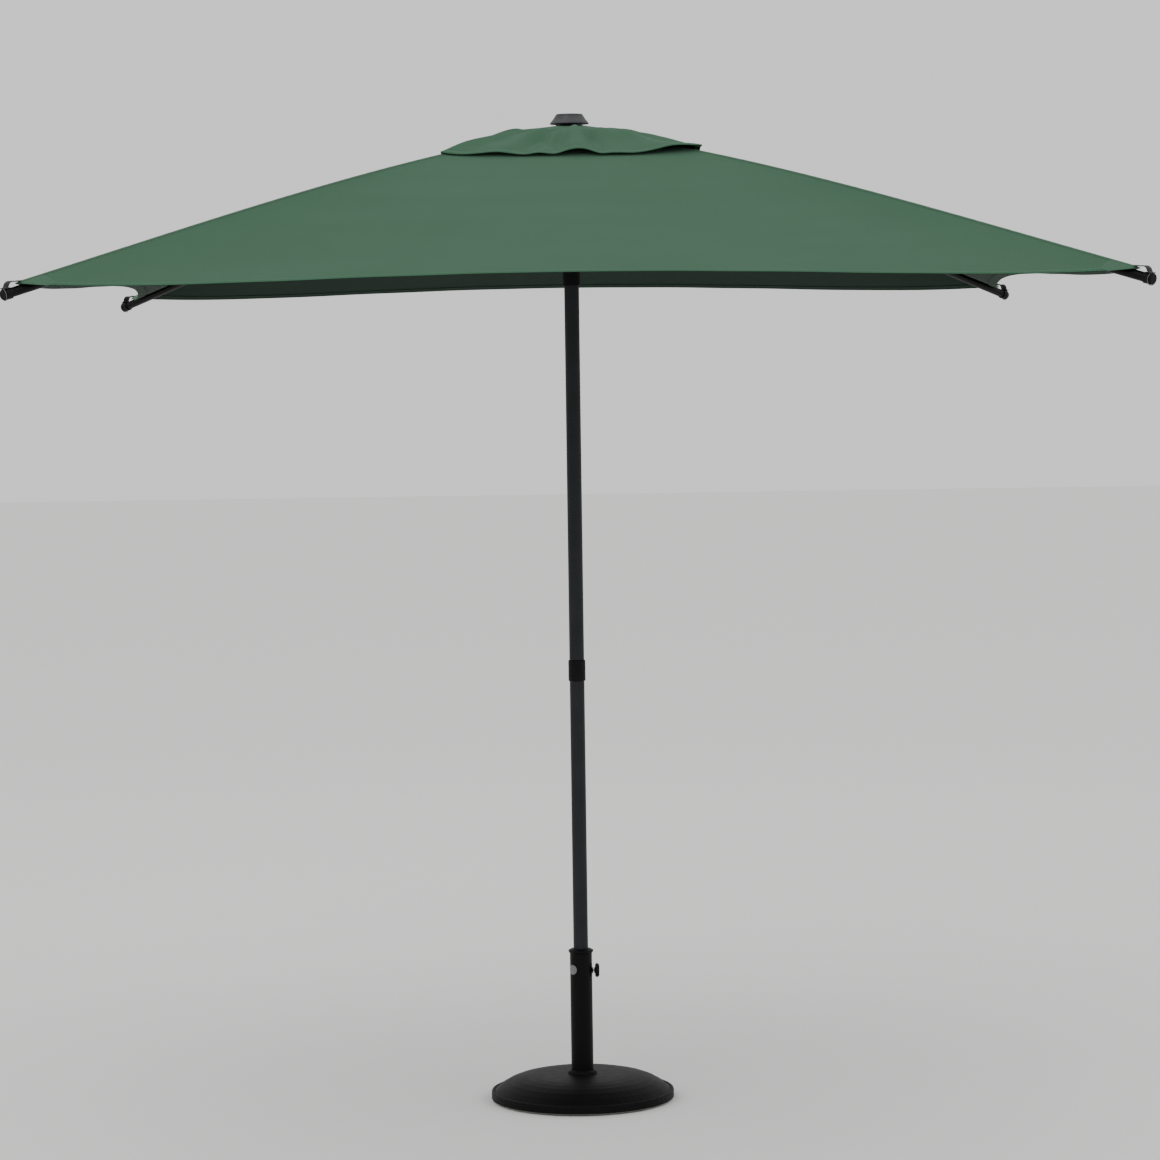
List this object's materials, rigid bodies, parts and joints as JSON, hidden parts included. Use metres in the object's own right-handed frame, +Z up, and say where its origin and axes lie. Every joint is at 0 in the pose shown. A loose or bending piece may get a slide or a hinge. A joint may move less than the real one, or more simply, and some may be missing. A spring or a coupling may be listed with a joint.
{
  "type": "patio umbrella with base",
  "caption": "Square vented patio umbrella with folding ribs, struts and runner, a sectional mast and a weighted round base with a clamp knob",
  "frame": {"origin": "on the floor at the middle of the base, on the mast's axis", "axes": "+Z up along the mast; the clamp knob points along +X; ribs run to the corners at 45, 135, 225 and 315 degrees; -Y is the side seen first"},
  "size_m": [2.5588, 2.5588, 2.5243],
  "materials": {
    "matte_black_cover": "matte",
    "concrete_ballast": "matte",
    "black_rubber": "matte",
    "black_steel": "satin",
    "black_plastic": "satin",
    "zinc_steel": "satin",
    "grey_badge": "satin",
    "charcoal_steel": "satin",
    "grey_plastic": "satin",
    "green_canopy": "matte",
    "black_webbing": "matte"
  },
  "bodies": {
    "base": {"base_cover": "matte_black_cover", "base_ballast": "concrete_ballast", "base_foot_ring": "black_rubber", "socket_tube": "black_steel", "socket_collar": "black_plastic", "socket_bushing": "black_plastic", "socket_cap": "black_plastic", "clamp_boss": "black_steel", "blank_badge": "grey_badge"},
    "clamp_pad": {"clamp_pad": "black_plastic"},
    "clamp_knob": {"clamp_screw": "zinc_steel", "clamp_knob": "black_plastic"},
    "mast_foot": {"mast_foot_plug": "black_plastic"},
    "lower_mast": {"lower_mast_tube": "charcoal_steel", "spigot_tube": "zinc_steel", "coupling_sleeve": "black_plastic"},
    "upper_mast": {"upper_mast_tube": "charcoal_steel", "crown_hub": "black_plastic", "crown_pin_1": "zinc_steel", "crown_pin_2": "zinc_steel", "crown_pin_3": "zinc_steel", "crown_pin_4": "zinc_steel", "finial_cap": "grey_plastic", "vent_cover": "green_canopy"},
    "runner": {"runner_hub": "black_plastic", "runner_liner": "grey_plastic", "runner_pin_1": "zinc_steel", "runner_pin_2": "zinc_steel", "runner_pin_3": "zinc_steel", "runner_pin_4": "zinc_steel"},
    "rib_1": {"rib_tube_1": "black_steel", "rib_root_1": "black_plastic", "rib_bracket_1": "black_steel", "rib_end_cap_1": "black_plastic", "corner_strap_1": "black_webbing", "canopy_quarter_1": "green_canopy"},
    "strut_1": {"strut_1": "black_steel"},
    "rib_2": {"rib_tube_2": "black_steel", "rib_root_2": "black_plastic", "rib_bracket_2": "black_steel", "rib_end_cap_2": "black_plastic", "corner_strap_2": "black_webbing", "canopy_quarter_2": "green_canopy"},
    "strut_2": {"strut_2": "black_steel"},
    "rib_3": {"rib_tube_3": "black_steel", "rib_root_3": "black_plastic", "rib_bracket_3": "black_steel", "rib_end_cap_3": "black_plastic", "corner_strap_3": "black_webbing", "canopy_quarter_3": "green_canopy"},
    "strut_3": {"strut_3": "black_steel"},
    "rib_4": {"rib_tube_4": "black_steel", "rib_root_4": "black_plastic", "rib_bracket_4": "black_steel", "rib_end_cap_4": "black_plastic", "corner_strap_4": "black_webbing", "canopy_quarter_4": "green_canopy"},
    "strut_4": {"strut_4": "black_steel"}
  },
  "joints": [
    {"name": "clamp_feed", "type": "slide", "parent": "base", "child": "clamp_pad", "axis": [1, 0, 0], "range_m": [0, 0.00375]},
    {"name": "clamp_turn", "type": "hinge", "parent": "clamp_pad", "child": "clamp_knob", "pos_m": [0.0193, 0, 0.333], "axis": [1, 0, 0], "range_deg": [0, 1080]},
    {"name": "mast_lift", "type": "slide", "parent": "base", "child": "mast_foot", "axis": [0, 0, 1], "range_m": [0, 0.25]},
    {"name": "mast_swivel", "type": "hinge", "parent": "mast_foot", "child": "lower_mast", "pos_m": [0, 0, 0.06], "axis": [0, 0, 1], "continuous": true},
    {"name": "upper_mast_pull", "type": "slide", "parent": "lower_mast", "child": "upper_mast", "axis": [0, 0, 1], "range_m": [0, 0.09]},
    {"name": "rib_1_fold", "type": "hinge", "parent": "upper_mast", "child": "rib_1", "pos_m": [0.02828, 0.02828, 2.46], "axis": [-0.7071, 0.7071, 0], "range_deg": [0, 70], "deforming": ["canopy_quarter_1", "vent_cover"]},
    {"name": "strut_1_hinge", "type": "hinge", "parent": "rib_1", "child": "strut_1", "pos_m": [0.45554, 0.45554, 2.32107], "axis": [-0.7071, 0.7071, 0], "range_deg": [-140, 0]},
    {"name": "rib_2_fold", "type": "hinge", "parent": "upper_mast", "child": "rib_2", "pos_m": [-0.02828, 0.02828, 2.46], "axis": [-0.7071, -0.7071, 0], "range_deg": [0, 70], "deforming": ["canopy_quarter_2"]},
    {"name": "strut_2_hinge", "type": "hinge", "parent": "rib_2", "child": "strut_2", "pos_m": [-0.45554, 0.45554, 2.32107], "axis": [-0.7071, -0.7071, 0], "range_deg": [-140, 0]},
    {"name": "rib_3_fold", "type": "hinge", "parent": "upper_mast", "child": "rib_3", "pos_m": [-0.02828, -0.02828, 2.46], "axis": [0.7071, -0.7071, 0], "range_deg": [0, 70], "deforming": ["canopy_quarter_3"]},
    {"name": "strut_3_hinge", "type": "hinge", "parent": "rib_3", "child": "strut_3", "pos_m": [-0.45554, -0.45554, 2.32107], "axis": [0.7071, -0.7071, 0], "range_deg": [-140, 0]},
    {"name": "rib_4_fold", "type": "hinge", "parent": "upper_mast", "child": "rib_4", "pos_m": [0.02828, -0.02828, 2.46], "axis": [0.7071, 0.7071, 0], "range_deg": [0, 70], "deforming": ["canopy_quarter_4"]},
    {"name": "strut_4_hinge", "type": "hinge", "parent": "rib_4", "child": "strut_4", "pos_m": [0.45554, -0.45554, 2.32107], "axis": [0.7071, 0.7071, 0], "range_deg": [-140, 0]},
    {"name": "runner_hinge", "type": "hinge", "parent": "strut_1", "child": "runner", "pos_m": [0.02828, 0.02828, 2.18214], "axis": [-0.7071, 0.7071, 0], "range_deg": [0, 70]}
  ],
  "couplings": [
    {"joint": "clamp_turn", "follows": "clamp_feed", "rad_per_m": 5026.5},
    {"joint": "rib_2_fold", "follows": "rib_1_fold", "ratio": 1},
    {"joint": "rib_3_fold", "follows": "rib_1_fold", "ratio": 1},
    {"joint": "rib_4_fold", "follows": "rib_1_fold", "ratio": 1},
    {"joint": "strut_1_hinge", "follows": "rib_1_fold", "ratio": -2},
    {"joint": "strut_2_hinge", "follows": "rib_1_fold", "ratio": -2},
    {"joint": "strut_3_hinge", "follows": "rib_1_fold", "ratio": -2},
    {"joint": "strut_4_hinge", "follows": "rib_1_fold", "ratio": -2},
    {"joint": "runner_hinge", "follows": "rib_1_fold", "ratio": 1}
  ]
}
